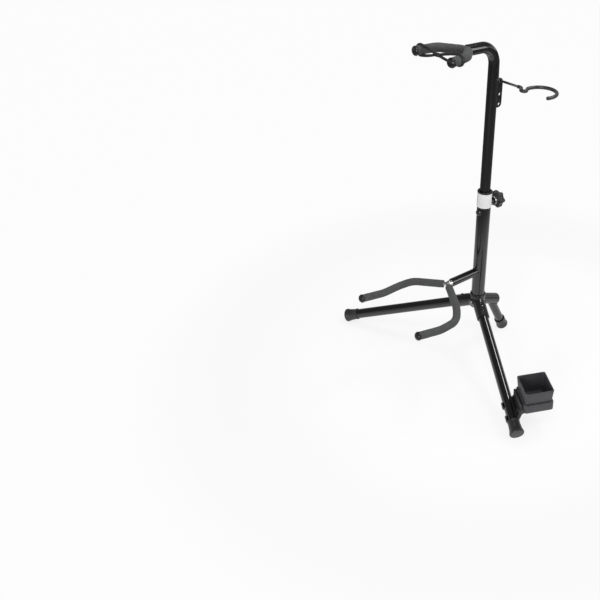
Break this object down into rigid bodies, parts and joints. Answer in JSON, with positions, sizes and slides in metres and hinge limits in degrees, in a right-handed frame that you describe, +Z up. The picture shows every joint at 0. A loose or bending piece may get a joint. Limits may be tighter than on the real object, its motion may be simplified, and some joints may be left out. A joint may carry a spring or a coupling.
{
  "type": "violin stand",
  "caption": "Tubular violin stand on three legs, with a padded cradle, a padded neck yoke with a strap, a telescoping upright, a bow hook and a clip-on bow box.",
  "frame": {"origin": "centre of the bounding box, on the floor under the stand", "axes": "+Z up, -Y towards the instrument's side (the player), +X the stand's own left, which carries the bow hook and the bow box"},
  "size_m": [0.4196, 0.2594, 0.5201],
  "materials": {
    "tube_black": "gloss black powder coat on steel tube",
    "fastener_black": "gloss black rivet head",
    "collar_black": "moulded black nylon bushing and plug",
    "band_white": "bare white plastic wrap",
    "rod_steel": "plain drawn steel rod",
    "hook_steel": "bright plated spring wire",
    "screw_steel": "zinc plated thumb screw",
    "foam": "matte charcoal closed-cell foam sleeve",
    "cap_rubber": "smooth black rubber",
    "strap_rubber": "smooth black rubber strap",
    "foot_rubber": "satin moulded black rubber",
    "knob_plastic": "satin moulded charcoal plastic",
    "box_plastic": "satin moulded charcoal plastic"
  },
  "bodies": {
    "base": {"hub": "tube_black", "hub_rivet": "fastener_black", "lower_tube": "tube_black", "tube_bushing": "collar_black", "bushing_rivet": "fastener_black", "label_band": "band_white", "screw_boss": "tube_black", "rear_stub": "tube_black", "stub_plug": "collar_black", "rear_leg": "tube_black", "rear_foot": "foot_rubber", "cradle_stub": "tube_black", "cradle_fork": "rod_steel", "cradle_foam_left": "foam", "cradle_foam_right": "foam", "cradle_cap_left": "cap_rubber", "cradle_cap_right": "cap_rubber"},
    "mast": {"upper_tube": "tube_black", "hook_tab": "tube_black", "yoke_rod": "rod_steel", "yoke_foam": "foam", "yoke_cap_left": "cap_rubber", "yoke_cap_right": "cap_rubber", "security_strap": "strap_rubber"},
    "bow_hook": {"bow_hook_wire": "hook_steel", "bow_hook_sleeve": "cap_rubber"},
    "knob": {"height_knob": "knob_plastic", "knob_screw": "screw_steel"},
    "left_leg_body": {"left_leg": "tube_black", "left_foot": "foot_rubber"},
    "right_leg_body": {"right_leg": "tube_black", "right_foot": "foot_rubber"},
    "clip": {"box_clip": "box_plastic", "box_tray": "box_plastic"},
    "cup": {"bow_cup": "box_plastic"}
  },
  "joints": [
    {"name": "mast_slide", "type": "slide", "parent": "base", "child": "mast", "axis": [0, 0.0541, 0.9985], "range_m": [-0.11, 0.03]},
    {"name": "knob_turn", "type": "hinge", "parent": "base", "child": "knob", "pos_m": [-0.00651, 0.06719, 0.25795], "axis": [0, 0.9985, -0.0541], "range_deg": [0, 540]},
    {"name": "hook_fold", "type": "hinge", "parent": "mast", "child": "bow_hook", "pos_m": [-0.00651, 0.09353, 0.44831], "axis": [1, 0, 0], "range_deg": [-95, 0]},
    {"name": "left_leg_pull", "type": "slide", "parent": "base", "child": "left_leg_body", "axis": [0.8126, -0.4844, -0.3239], "range_m": [0, 0.024]},
    {"name": "right_leg_pull", "type": "slide", "parent": "base", "child": "right_leg_body", "axis": [-0.8126, -0.4844, -0.3239], "range_m": [0, 0.024]},
    {"name": "clip_turn", "type": "hinge", "parent": "left_leg_body", "child": "clip", "pos_m": [0.15899, -0.04065, 0.02223], "axis": [0.8126, -0.4844, -0.3239], "range_deg": [-25, 100]},
    {"name": "cup_lift", "type": "slide", "parent": "clip", "child": "cup", "axis": [0, 0, 1], "range_m": [0, 0.03]}
  ]
}
